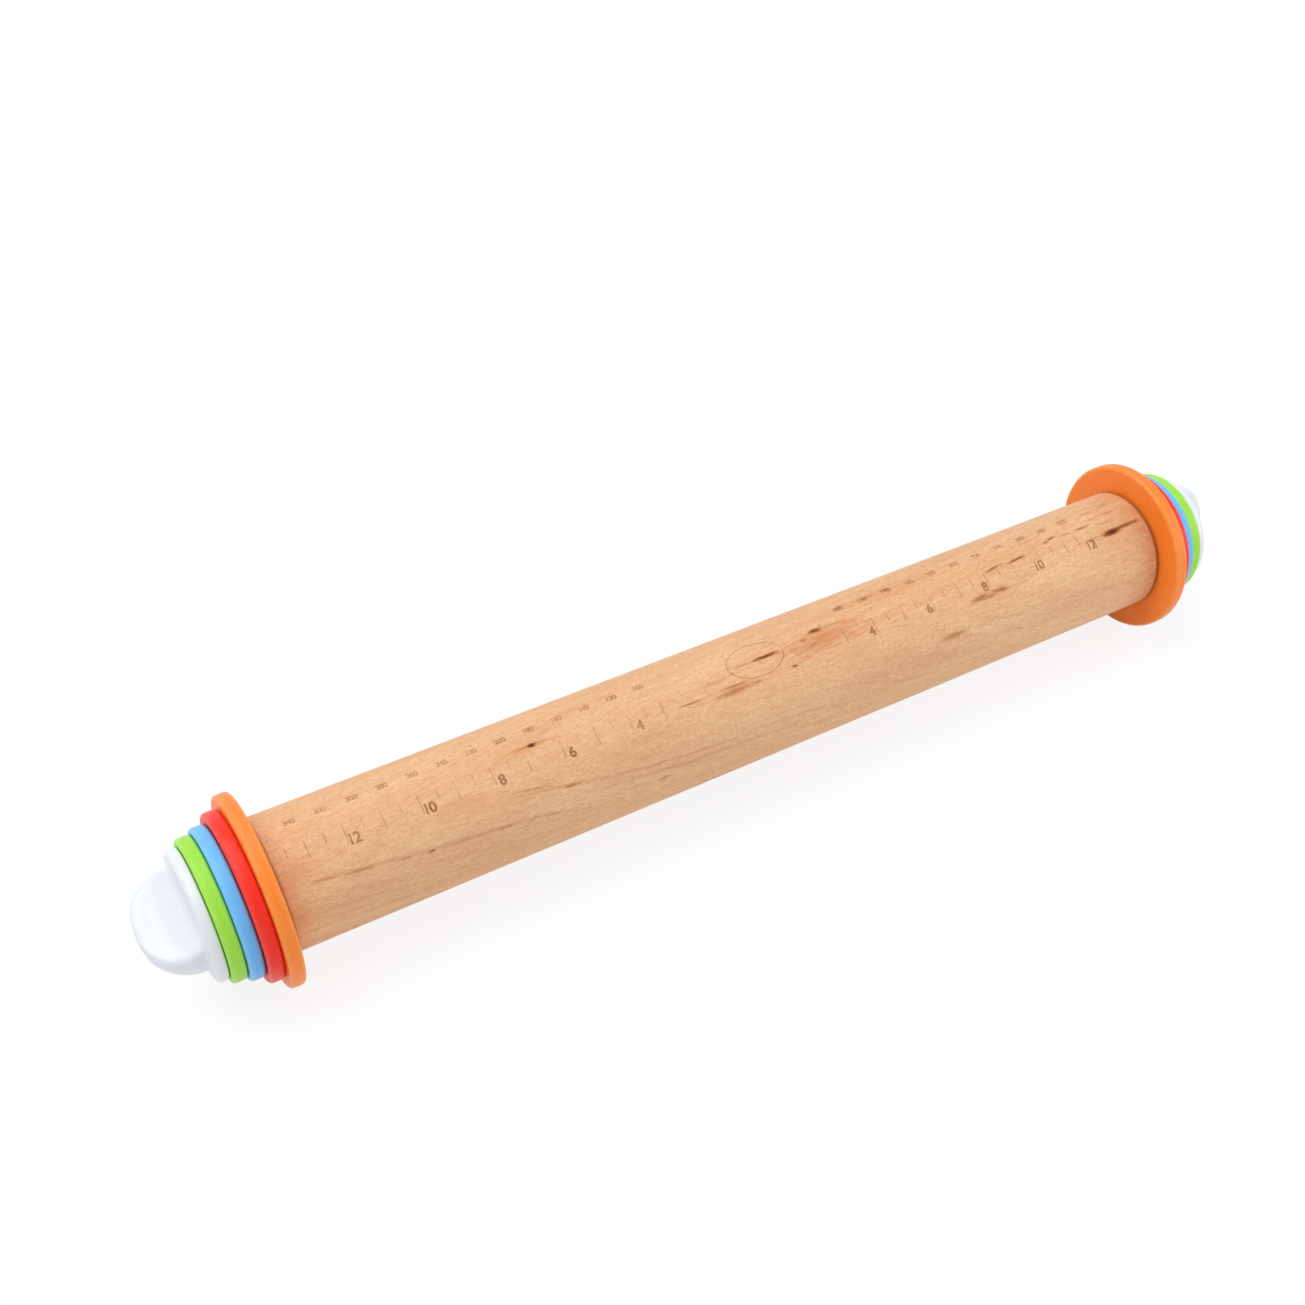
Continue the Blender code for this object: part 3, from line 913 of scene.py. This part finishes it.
def outlinePoints(setup):
    # The grip's outline in (along, across), dense enough to measure distances from
    turn = np.linspace(0, np.pi, setup["outlineSteps"])
    power = 2 / setup["outlinePower"]
    along = setup["gripLength"] * np.abs(np.sin(turn)) ** power
    across = setup["gripHalfWidth"] * np.sign(np.cos(turn)) * np.abs(np.cos(turn)) ** power
    return np.stack([along, across], 1)


def gripHalfThicknessAt(along, setup):
    share = min(1, max(0, along / setup["gripLength"]))
    flare = setup["flare"] * max(0, 1 - along / setup["flareLength"]) ** setup["flarePower"]
    thin = (1 - share ** setup["tipPower"]) ** (1 / setup["tipPower"])
    most = setup["thickShare"] * gripHalfWidthAt(along, setup)
    return min((setup["gripHalfThickness"] + flare) * thin, most)


def ease(share):
    # 0 to 1 with a soft start and a soft end
    share = np.clip(share, 0, 1)
    return share * share * (3 - 2 * share)


def gripSection(along, grown, setup, outline):
    # One closed section, as (across, through) points: a disc cut by two faces, with round rims
    reach = gripHalfWidthAt(along, setup)
    half = gripHalfThicknessAt(along, setup)
    edge = min(setup["gripEdge"], setup["edgeShare"] * half)
    centre = math.sqrt(max(0, (reach - edge) ** 2 - (half - edge) ** 2))
    corner = math.atan2(half - edge, centre)
    reach, half, edge = reach + grown, half + grown, edge + grown
    quarter = []
    for step in range(setup["sidePoints"]):
        turn = corner * step / setup["sidePoints"]
        quarter.append((reach * math.cos(turn), reach * math.sin(turn)))
    for step in range(setup["edgePoints"]):
        turn = corner + (math.pi / 2 - corner) * step / setup["edgePoints"]
        quarter.append((centre + edge * math.cos(turn), half - edge + edge * math.sin(turn)))
    count = setup["facePoints"]
    quarter += [(centre * (1 - step / count), half) for step in range(count + 1)]
    points = np.array(quarter)
    flat = np.stack([np.full(len(points), along), points[:, 0]], 1)
    distance = np.sqrt(((flat[:, None, :] - outline[None, :, :]) ** 2).sum(2)).min(1)
    inner = ease((distance - setup["gripEdge"]) / setup["hollowBlend"])
    points[:, 1] -= setup["hollowDepth"] * inner * ease(along / setup["flareLength"])
    upper = np.concatenate([points, points[-2::-1] * (-1, 1)])
    return np.concatenate([upper, upper[-2:0:-1] * (1, -1)])


def capRows(setup):
    # The cap's rows as (x, points): from its tip over the outside, then the inside up to its end
    outline = outlinePoints(setup)
    fillet = setup["fillet"]
    length = setup["gripLength"]
    thickness = setup["flangeThickness"]
    alongs = []
    for step in range(setup["filletRows"]):
        alongs.append(fillet * (1 - math.cos(math.pi / 2 * step / setup["filletRows"])))
    first = math.asin((fillet / length) ** (setup["outlinePower"] / 2))
    for step in range(setup["rows"]):
        turn = first + (math.pi / 2 - first) * step / setup["rows"]
        alongs.append(length * math.sin(turn) ** (2 / setup["outlinePower"]))
    sections = []
    for along in alongs:
        rise = max(0, 1 - along / fillet)
        grown = fillet * (1 - math.sqrt(1 - rise * rise))
        sections.append((thickness + along, gripSection(along, grown, setup, outline)))
    foot = sections[0][1]
    bearing = np.unwrap(np.arctan2(foot[:, 1], foot[:, 0]))

    def oval(width, depth):
        return np.stack([width * np.cos(bearing), depth * np.sin(bearing)], 1)

    inner, outer, radius = setup["innerRound"], setup["outerRound"], setup["flangeRadius"]
    rim = arc(inner, radius - inner, inner, 180, 90, setup["innerSteps"])
    rim += arc(thickness - outer, radius - outer, outer, 90, 0, setup["outerSteps"])
    outside = [(x, oval(reach, reach)) for x, reach in rim]
    edge = oval(radius - outer, radius - outer)
    for share in setup["flangeRows"]:
        outside.append((thickness, edge + (foot - edge) * share))
    outside += sections

    recess = oval(setup["recessRadius"], setup["recessRadius"])
    inside = [(0, recess), (setup["recessDepth"], recess)]
    deep = length - setup["wall"]
    for step in range(setup["cavityRows"]):
        along = deep * math.sin(math.pi / 2 * step / setup["cavityRows"])
        half = gripHalfWidthAt(along, setup, setup["wall"])
        thin = math.sqrt(1 - (along / deep) ** setup["cavityPower"])
        flat = oval(half, (setup["gripHalfThickness"] - setup["wall"]) * thin)
        inside.append((setup["recessDepth"] if step == 0 else thickness + along, flat))
    return [(thickness + length, None)] + outside[::-1] + inside + [(thickness + deep, None)]


def makeCap(side, rows, setup):
    angle = math.radians(setup["turn"][side])
    builder = bmesh.new()
    built = []
    for x, points in rows:
        if points is None:
            built.append([builder.verts.new((x, 0, 0))] * len(rows[1][1]))
            continue
        row = []
        for width, depth in points:
            y = width * math.sin(angle) - depth * math.cos(angle)
            z = width * math.cos(angle) + depth * math.sin(angle)
            row.append(builder.verts.new((x, y, z)))
        built.append(row)
    for first, second in zip(built, built[1:]):
        bridgeRows(builder, first, second)
    cap = meshObject(side + "KnobCap", builder, knobWhite, knobFrames[side], setup["cornerDegrees"])
    markEdges(cap, *setup["wearAndHighlightCurves"])
    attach(cap, side + "_knob")
    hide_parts(side + "_knob_cap")


knobRows = capRows(capSet)
for capSide in endFrames:
    makeCap(capSide, knobRows, capSet)
print("knob caps made")


# Threads: a turned blank whose marked rows are pushed in and out along a helix

threadSet = {
    "pitch": 5 * mm,
    "outerRadius": 8 * mm,
    "depth": 1.8 * mm,
    "clearance": 0.35 * mm,
    "crestShare": 0.25,      # shares of the pitch that are flat, on the ridge and in the groove
    "rootShare": 0.35,
    "rowsPerPitch": 20,
    "sides": 80,
    "wearAndHighlightCurves": (0.3, 2.0),
}


def threadTree(material):
    names = ("Axis Start", "Way", "Pitch", "Groove Line")
    names += ("Root Radius", "Depth", "Root Share", "Crest Share")
    tree, given, result = newTree("screwThread", dict.fromkeys(names, "Float"))
    spot = splitXYZ(put(tree, "GeometryNodeInputPosition"))
    marked = put(tree, "GeometryNodeInputNamedAttribute", {"Name": "threaded"}, data_type="FLOAT")
    along = times(minus(spot[0], given["Axis Start"]), given["Way"])
    sideways = times(spot[1], given["Way"])
    turn = over(calc("ARCTAN2", spot[2], sideways), math.tau)
    phase = over(minus(along, given["Groove Line"]), given["Pitch"])
    phase = calc("FRACT", plus(minus(phase, turn), 0.5))
    fromGroove = calc("ABSOLUTE", minus(phase, 0.5))
    rootEnd = over(given["Root Share"], 2.0)
    crestStart = minus(0.5, over(given["Crest Share"], 2.0))
    ridge = remap(fromGroove, rootEnd, crestStart)
    full = plus(given["Root Radius"], times(ridge, given["Depth"]))
    flat = joinXYZ(0.0, spot[1], spot[2])
    radius = vectorCalc("LENGTH", flat)
    wanted = calc("MULTIPLY_ADD", marked, minus(full, radius), radius)
    ratio = over(wanted, calc("MAXIMUM", radius, 0.01 * mm))  # poles have no radius
    moved = vectorCalc("MULTIPLY", flat, joinXYZ(0.0, ratio, ratio))
    moved = vectorCalc("ADD", moved, joinXYZ(spot[0]))
    finishTree(result, given["Geometry"], moved, material)
    return tree


screwThread = threadTree(nylon)


def joinOnto(piece, extra):
    # Unites a piece with another one, which goes into it
    union = piece.modifiers.new("union", "BOOLEAN")
    union.operation = "UNION"
    union.solver = "EXACT"
    union.object = extra
    bakeModifiers(piece)
    bpy.data.objects.remove(extra)


def threadedPiece(name, side, profile, start, values, extra=None):
    # The profile holds (x, radius, thread mark) in the end's own frame, moved out by start
    sides = threadSet["sides"]
    place = endFrames[side] @ Matrix.Translation((start, 0, 0))
    blank = turnedShape([(x, radius) for x, radius, mark in profile], sides)
    piece = meshObject(side + name, blank, nylon, place)
    marks = []
    for x, radius, mark in profile:
        marks += [mark] * (1 if radius == 0 else sides)
    writeValues(piece, "threaded", marks)
    way = 1.0 if side == "right" else -1.0
    applyTree(piece, screwThread, {
        "Axis Start": way * (barrelEnd + start),
        "Way": way,
        "Pitch": threadSet["pitch"],
        "Depth": threadSet["depth"],
        **values,
    })
    if extra:
        joinOnto(piece, extra)
    shadeSmooth(piece.data)
    markEdges(piece, *threadSet["wearAndHighlightCurves"])
    return piece


def threadRows(fromX, toX, radius, fade):
    # Rows of the threaded stretch; the mark fades to 0 at the ends over the given length
    count = math.ceil(abs(toX - fromX) / threadSet["pitch"] * threadSet["rowsPerPitch"])
    rows = []
    for step in range(count + 1):
        x = fromX + (toX - fromX) * step / count
        nearEnd = min(abs(x - fromX), abs(toX - x))
        rows.append((x, radius, min(1, nearEnd / fade)))
    return rows


studSet = {
    "length": 40 * mm,
    "coreRadius": 3.5 * mm,
    "coreDepth": 34 * mm,
    "tipRound": 0.2 * mm,
    "threadStart": 0.3 * mm,  # from the tip
    "threadFade": 1.6 * mm,
    "neck": 2.5 * mm,
    "baseThickness": 2 * mm,
    "baseRadius": 18.7 * mm,
    "edgeRound": 0.4 * mm,
    "edgeSteps": 3,
    "bladeHeight": 8 * mm,
    "bladeHalfWidth": 9 * mm,
    "bladeHalfThickness": 1.3 * mm,
    "bladeRound": 0.5 * mm,
    "bladeSteps": 4,
}


def makeBlade(side, setup):
    # The blade that drives the grip, in line with it; its foot is sunk half into the base plate
    low = setup["baseThickness"] / 2
    high = setup["baseThickness"] + setup["bladeHeight"]
    builder = bmesh.new()
    bmesh.ops.create_cube(builder, size=1)
    for point in builder.verts:
        width = 2 * point.co.y * setup["bladeHalfWidth"]
        depth = 2 * point.co.z * setup["bladeHalfThickness"]
        point.co = (low if point.co.x < 0 else high, width, depth)
    bmesh.ops.bevel(builder, geom=builder.edges[:], offset=setup["bladeRound"],
                    segments=setup["bladeSteps"], profile=0.5, affect="EDGES", clamp_overlap=True)
    turn = Matrix.Rotation(math.pi / 2 - math.radians(capSet["turn"][side]), 4, "X")
    return meshObject(side + "Blade", builder, nylon, knobFrames[side] @ turn)


def makeStud(side, setup):
    tip = -setup["length"]
    outer = threadSet["outerRadius"]
    root = outer - threadSet["depth"]
    soft = setup["edgeRound"]
    base = setup["baseThickness"]
    rim = setup["baseRadius"]
    core = setup["coreRadius"]
    coreEnd = tip + setup["coreDepth"]
    mouth = arc(tip + soft, core + soft, soft, 270, 180, setup["edgeSteps"])
    profile = [(x, radius, 0) for x, radius in mouth + [(tip, root - setup["tipRound"])]]
    profile += threadRows(tip + setup["threadStart"], -setup["neck"], outer, setup["threadFade"])
    plate = [(-soft, outer), (0, outer + soft), (0, rim - soft)]
    plate += arc(soft, rim - soft, soft, 180, 90, setup["edgeSteps"])
    plate += [(base, rim), (base, 0), (coreEnd, 0), (coreEnd, core)]
    profile += [(x, radius, 0) for x, radius in plate]
    stud = threadedPiece("KnobStud", side, profile, knobSeat, {
        "Root Radius": root,
        "Groove Line": 0.0,
        "Root Share": threadSet["rootShare"],
        "Crest Share": threadSet["crestShare"],
    }, makeBlade(side, setup))
    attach(stud, side + "_knob")
    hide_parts(side + "_knob_stud")


insertSet = {
    "radius": 12 * mm,
    "flangeRadius": 15 * mm,
    "flangeThickness": 2 * mm,
    "boreDepth": 41 * mm,
    "floor": 2 * mm,
    "mouth": 0.6 * mm,
    "edgeRound": 0.25 * mm,
    "threadFade": 1.2 * mm,
}


def makeInsert(side, setup):
    gap = threadSet["clearance"]
    bore = threadSet["outerRadius"] - threadSet["depth"] + gap
    soft = setup["edgeRound"]
    mouth = setup["mouth"]
    radius = setup["radius"]
    flange = setup["flangeRadius"]
    flangeEnd = -setup["flangeThickness"]
    deep = -setup["boreDepth"]
    end = deep - setup["floor"]
    outline = [(-mouth / 2, bore + mouth), (0, bore + 2 * mouth + soft)]
    outline += [(0, flange - soft), (-soft, flange), (flangeEnd, flange), (flangeEnd, radius)]
    outline += [(end, radius), (end, 0), (deep, 0)]
    profile = [(x, reach, 0) for x, reach in outline]
    profile += threadRows(deep, -mouth, bore, setup["threadFade"])
    # The insert's ridge runs in the stud's groove, with the clearance on all its sides
    insert = threadedPiece("Insert", side, profile, 0.0, {
        "Root Radius": bore,
        "Groove Line": knobSeat,
        "Root Share": threadSet["rootShare"] - 2 * gap / threadSet["pitch"],
        "Crest Share": threadSet["crestShare"] + 2 * gap / threadSet["pitch"],
    })
    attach(insert, "barrel")
    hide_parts(side + "_insert")


for threadSide in endFrames:
    makeStud(threadSide, studSet)
    makeInsert(threadSide, insertSet)
print("threads made")


# Ink of the scale: it lets the wood show through, more in some places than in others

inkSet = {
    "colour": srgb(112, 50, 10),
    "strengths": {           # strongest and weakest
        "scaleInk": (0.82, 0.45),
        "smallScaleInk": (0.64, 0.26),
        "fadedScaleInk": (0.56, 0.12),
    },
    "broad": ((0.05, 0.25, 0.25), 2.0),
    "fine": ((1.2, 4.0, 4.0), 3.0, 0.6),
    "broadShare": 0.7,
    "fineShare": 0.5,
    "fadeStart": 0.45,
    "fadeEnd": 0.75,
    "glossy": (0.3, 0.5),    # fine noise, and the roughness that it gives
    "matt": (0.7, 0.65),
}


def makeInk(name, setup):
    material, shader, place, wood = woodMaterial(name, beechSet)
    place = toMm(place)
    broad = noise(place, *setup["broad"])
    fine = noise(place, *setup["fine"])
    fade = plus(times(broad, setup["broadShare"]), times(fine, setup["fineShare"]))
    amount = remap(fade, setup["fadeStart"], setup["fadeEnd"], *setup["strengths"][name])
    glossy, matt = setup["glossy"], setup["matt"]
    feed(shader, {
        "Base Color": blendColours(amount, wood, setup["colour"]),
        "Roughness": remap(fine, glossy[0], matt[0], glossy[1], matt[1]),
    })
    return material


figureInk, smallInk, faintInk = [makeInk(name, inkSet) for name in inkSet["strengths"]]


# Printed scale on the barrel: plain figures and ticks, a hair thick, wrapped round the wood

printSet = {
    "lift": 0.02 * mm,       # how far the print stands out of the wood, and how deep it goes in
    "sink": 0.05 * mm,
    "weld": 0.0001 * mm,
    "tickWidth": 0.34 * mm,
    "shortTick": 3.6 * mm,
    "longTick": 6.3 * mm,
    "tickPoints": 13,        # along a tick, so that it follows the wood
    "tickRows": {            # degrees above the front, first place and step in mm, count, long first
        "rightTicks": (71.0, 36.9, 6.35, 19, 1),
        "leftTicks": (69.0, -171.45, 6.35, 22, 0),
    },
    "letterGap": 0.88,
    "inchText": 5.0 * mm,
    "inchBoldness": 0.15 * mm,
    "inchRows": {            # the same four, then the first number and the step to the next
        "rightInches": (53.8, 47.6, 25.4, 5, 4.0, 2.0),
        "leftInches": (51.8, -150.4, 25.6, 5, 12.0, -2.0),
    },
    "smallText": 3.0 * mm,
    "smallBoldness": 0.09 * mm,
    "smallRows": {
        "rightMillimetres": (90.2, 41.5, 10.4, 11, 100.0, 20.0),
        "leftMillimetres": (88.2, -166.3, 10.4, 13, 340.0, -20.0),
    },
    "oval": (73.5, 1.5, 0.0, 1),  # the same four
    "ovalPoints": 120,
    "ovalHalfLength": 11.3 * mm,
    "ovalHalfHeight": 7.0 * mm,
    "ovalLine": 0.34 * mm,
}


def printTree(name, extra):
    names = ("Barrel Radius", "Lift", "Sink", "Row Angle", "First Place", "Place Step")
    return newTree(name, {**dict.fromkeys(names, "Float"), "Count": "Int", "Ink": "Material", **extra})


def joinGeometry(*parts):
    joined = addNode(treeOf(*parts), "GeometryNodeJoinGeometry")
    for part in parts:
        feed(joined, {0: part})
    return joined.outputs[0]


def wrapOntoBarrel(tree, geometry, given, result):
    # Makes flat print into a thin solid and rolls it onto the barrel: y runs round, z runs outwards
    thick = plus(given["Lift"], given["Sink"])
    solid = {"Mesh": geometry, "Offset Scale": thick, "Individual": False}
    raised = put(tree, "GeometryNodeExtrudeMesh", solid)
    under = put(tree, "GeometryNodeFlipFaces", {0: geometry})
    both = {"Geometry": joinGeometry(raised, under), "Distance": printSet["weld"]}
    closed = put(tree, "GeometryNodeMergeByDistance", both)
    spot = splitXYZ(put(tree, "GeometryNodeInputPosition"))
    radius = minus(plus(given["Barrel Radius"], spot[2]), given["Sink"])
    angle = plus(over(spot[1], given["Barrel Radius"]), given["Row Angle"])
    y = times(times(calc("COSINE", angle), radius), -1.0)
    z = times(calc("SINE", angle), radius)
    finishTree(result, closed, joinXYZ(spot[0], y, z), given["Ink"])


def tickTree():
    # A row of ticks that hang from one line, short and long in turn
    extra = {"Tick Width": "Float", "Short Tick": "Float", "Long Tick": "Float", "Long First": "Int"}
    tree, given, result = printTree("scaleTicks", extra)
    line = put(tree, "GeometryNodeMeshLine", {
        "Count": given["Count"],
        "Start Location": joinXYZ(given["First Place"]),
        "Offset": joinXYZ(given["Place Step"]),
    })
    index = put(tree, "GeometryNodeInputIndex")
    long = calc("MODULO", plus(index, given["Long First"]), 2.0)
    longer = minus(given["Long Tick"], given["Short Tick"])
    length = calc("MULTIPLY_ADD", long, longer, given["Short Tick"])
    sockets = {"Size X": 1.0, "Size Y": 1.0, "Vertices X": 2, "Vertices Y": printSet["tickPoints"]}
    bar = put(tree, "GeometryNodeMeshGrid", sockets)
    ticks = put(tree, "GeometryNodeInstanceOnPoints", {
        "Points": line,
        "Instance": put(tree, "GeometryNodeTransform", {"Geometry": bar, "Translation": (0, -0.5, 0)}),
        "Scale": joinXYZ(given["Tick Width"], length, 1.0),
    })
    wrapOntoBarrel(tree, put(tree, "GeometryNodeRealizeInstances", {0: ticks}), given, result)
    return tree


def figureTree():
    # A row of plain numbers that rise or fall by one step
    names = ("First Value", "Value Step", "Text Size", "Letter Gap", "Boldness")
    tree, given, result = printTree("scaleFigures", dict.fromkeys(names, "Float"))
    begin = tree.nodes.new("GeometryNodeRepeatInput")
    end = tree.nodes.new("GeometryNodeRepeatOutput")
    begin.pair_with_output(end)
    end.repeat_items.new("FLOAT", "Number")
    number = begin.outputs["Number"]
    value = calc("MULTIPLY_ADD", number, given["Value Step"], given["First Value"])
    words = put(tree, "FunctionNodeValueToString", {"Value": value, "Decimals": 0})
    layout = {"String": words, "Size": given["Text Size"], "Character Spacing": given["Letter Gap"]}
    letters = put(tree, "GeometryNodeStringToCurves", layout, align_x="CENTER", align_y="BOTTOM_BASELINE")
    drawn = put(tree, "GeometryNodeRealizeInstances", {0: letters})
    points = put(tree, "GeometryNodeResampleCurve", {"Curve": drawn}, mode="EVALUATED")
    aside = vectorCalc("CROSS_PRODUCT", put(tree, "GeometryNodeInputTangent"), (0, 0, 1))
    bolder = vectorCalc("MULTIPLY", aside, joinXYZ(given["Boldness"], given["Boldness"]))
    bold = put(tree, "GeometryNodeSetPosition", {"Geometry": points, "Offset": bolder})
    filled = put(tree, "GeometryNodeFillCurve", {"Curve": bold})
    place = calc("MULTIPLY_ADD", number, given["Place Step"], given["First Place"])
    moved = put(tree, "GeometryNodeTransform", {"Geometry": filled, "Translation": joinXYZ(place)})
    feed(begin, {"Iterations": given["Count"]})
    feed(end, {
        "Geometry": joinGeometry(begin.outputs["Geometry"], moved),
        "Number": plus(number, 1.0),
    })
    fine = put(tree, "GeometryNodeSubdivideMesh", {"Mesh": end.outputs["Geometry"], "Level": 1})
    wrapOntoBarrel(tree, fine, given, result)
    return tree


def centreMarkTree():
    # A plain oval line at the middle of the scale, for centring the dough
    names = ("Half Length", "Half Height", "Line")
    tree, given, result = printTree("centreMark", dict.fromkeys(names, "Float"))
    shift = joinXYZ(given["First Place"])
    ovals = []
    for inset in (0.0, 1.0):
        sockets = {"Resolution": printSet["ovalPoints"], "Radius": 1.0}
        circle = put(tree, "GeometryNodeCurvePrimitiveCircle", sockets)
        less = times(given["Line"], inset)
        halfLength = minus(given["Half Length"], less)
        halfHeight = minus(given["Half Height"], less)
        sized = {"Scale": joinXYZ(halfLength, halfHeight, 1.0), "Translation": shift}
        ovals.append(put(tree, "GeometryNodeTransform", {"Geometry": circle, **sized}))
    filled = put(tree, "GeometryNodeFillCurve", {"Curve": joinGeometry(*ovals)})
    wrapOntoBarrel(tree, filled, given, result)
    return tree


def printRow(name, tree, ink, angle, place, step, count, values):
    item = newObject(name, bpy.data.meshes.new(name))
    applyTree(item, tree, {
        "Barrel Radius": barrelRadius,
        "Lift": printSet["lift"],
        "Sink": printSet["sink"],
        "Row Angle": math.radians(angle),
        "First Place": place * mm,
        "Place Step": step * mm,
        "Count": count,
        "Ink": ink,
        **values,
    })
    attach(item, "barrel")


def makeScale(setup):
    ticks = tickTree()
    for name, (*row, longFirst) in setup["tickRows"].items():
        printRow(name, ticks, faintInk, *row, {
            "Tick Width": setup["tickWidth"],
            "Short Tick": setup["shortTick"],
            "Long Tick": setup["longTick"],
            "Long First": longFirst,
        })
    figures = figureTree()
    for kind, ink in (("inch", figureInk), ("small", smallInk)):
        for name, (*row, value, step) in setup[kind + "Rows"].items():
            printRow(name, figures, ink, *row, {
                "First Value": value,
                "Value Step": step,
                "Letter Gap": setup["letterGap"],
                "Boldness": setup[kind + "Boldness"],
                "Text Size": setup[kind + "Text"],
            })
    printRow("centreMark", centreMarkTree(), smallInk, *setup["oval"], {
        "Half Length": setup["ovalHalfLength"],
        "Half Height": setup["ovalHalfHeight"],
        "Line": setup["ovalLine"],
    })


makeScale(printSet)
print("scale printed")
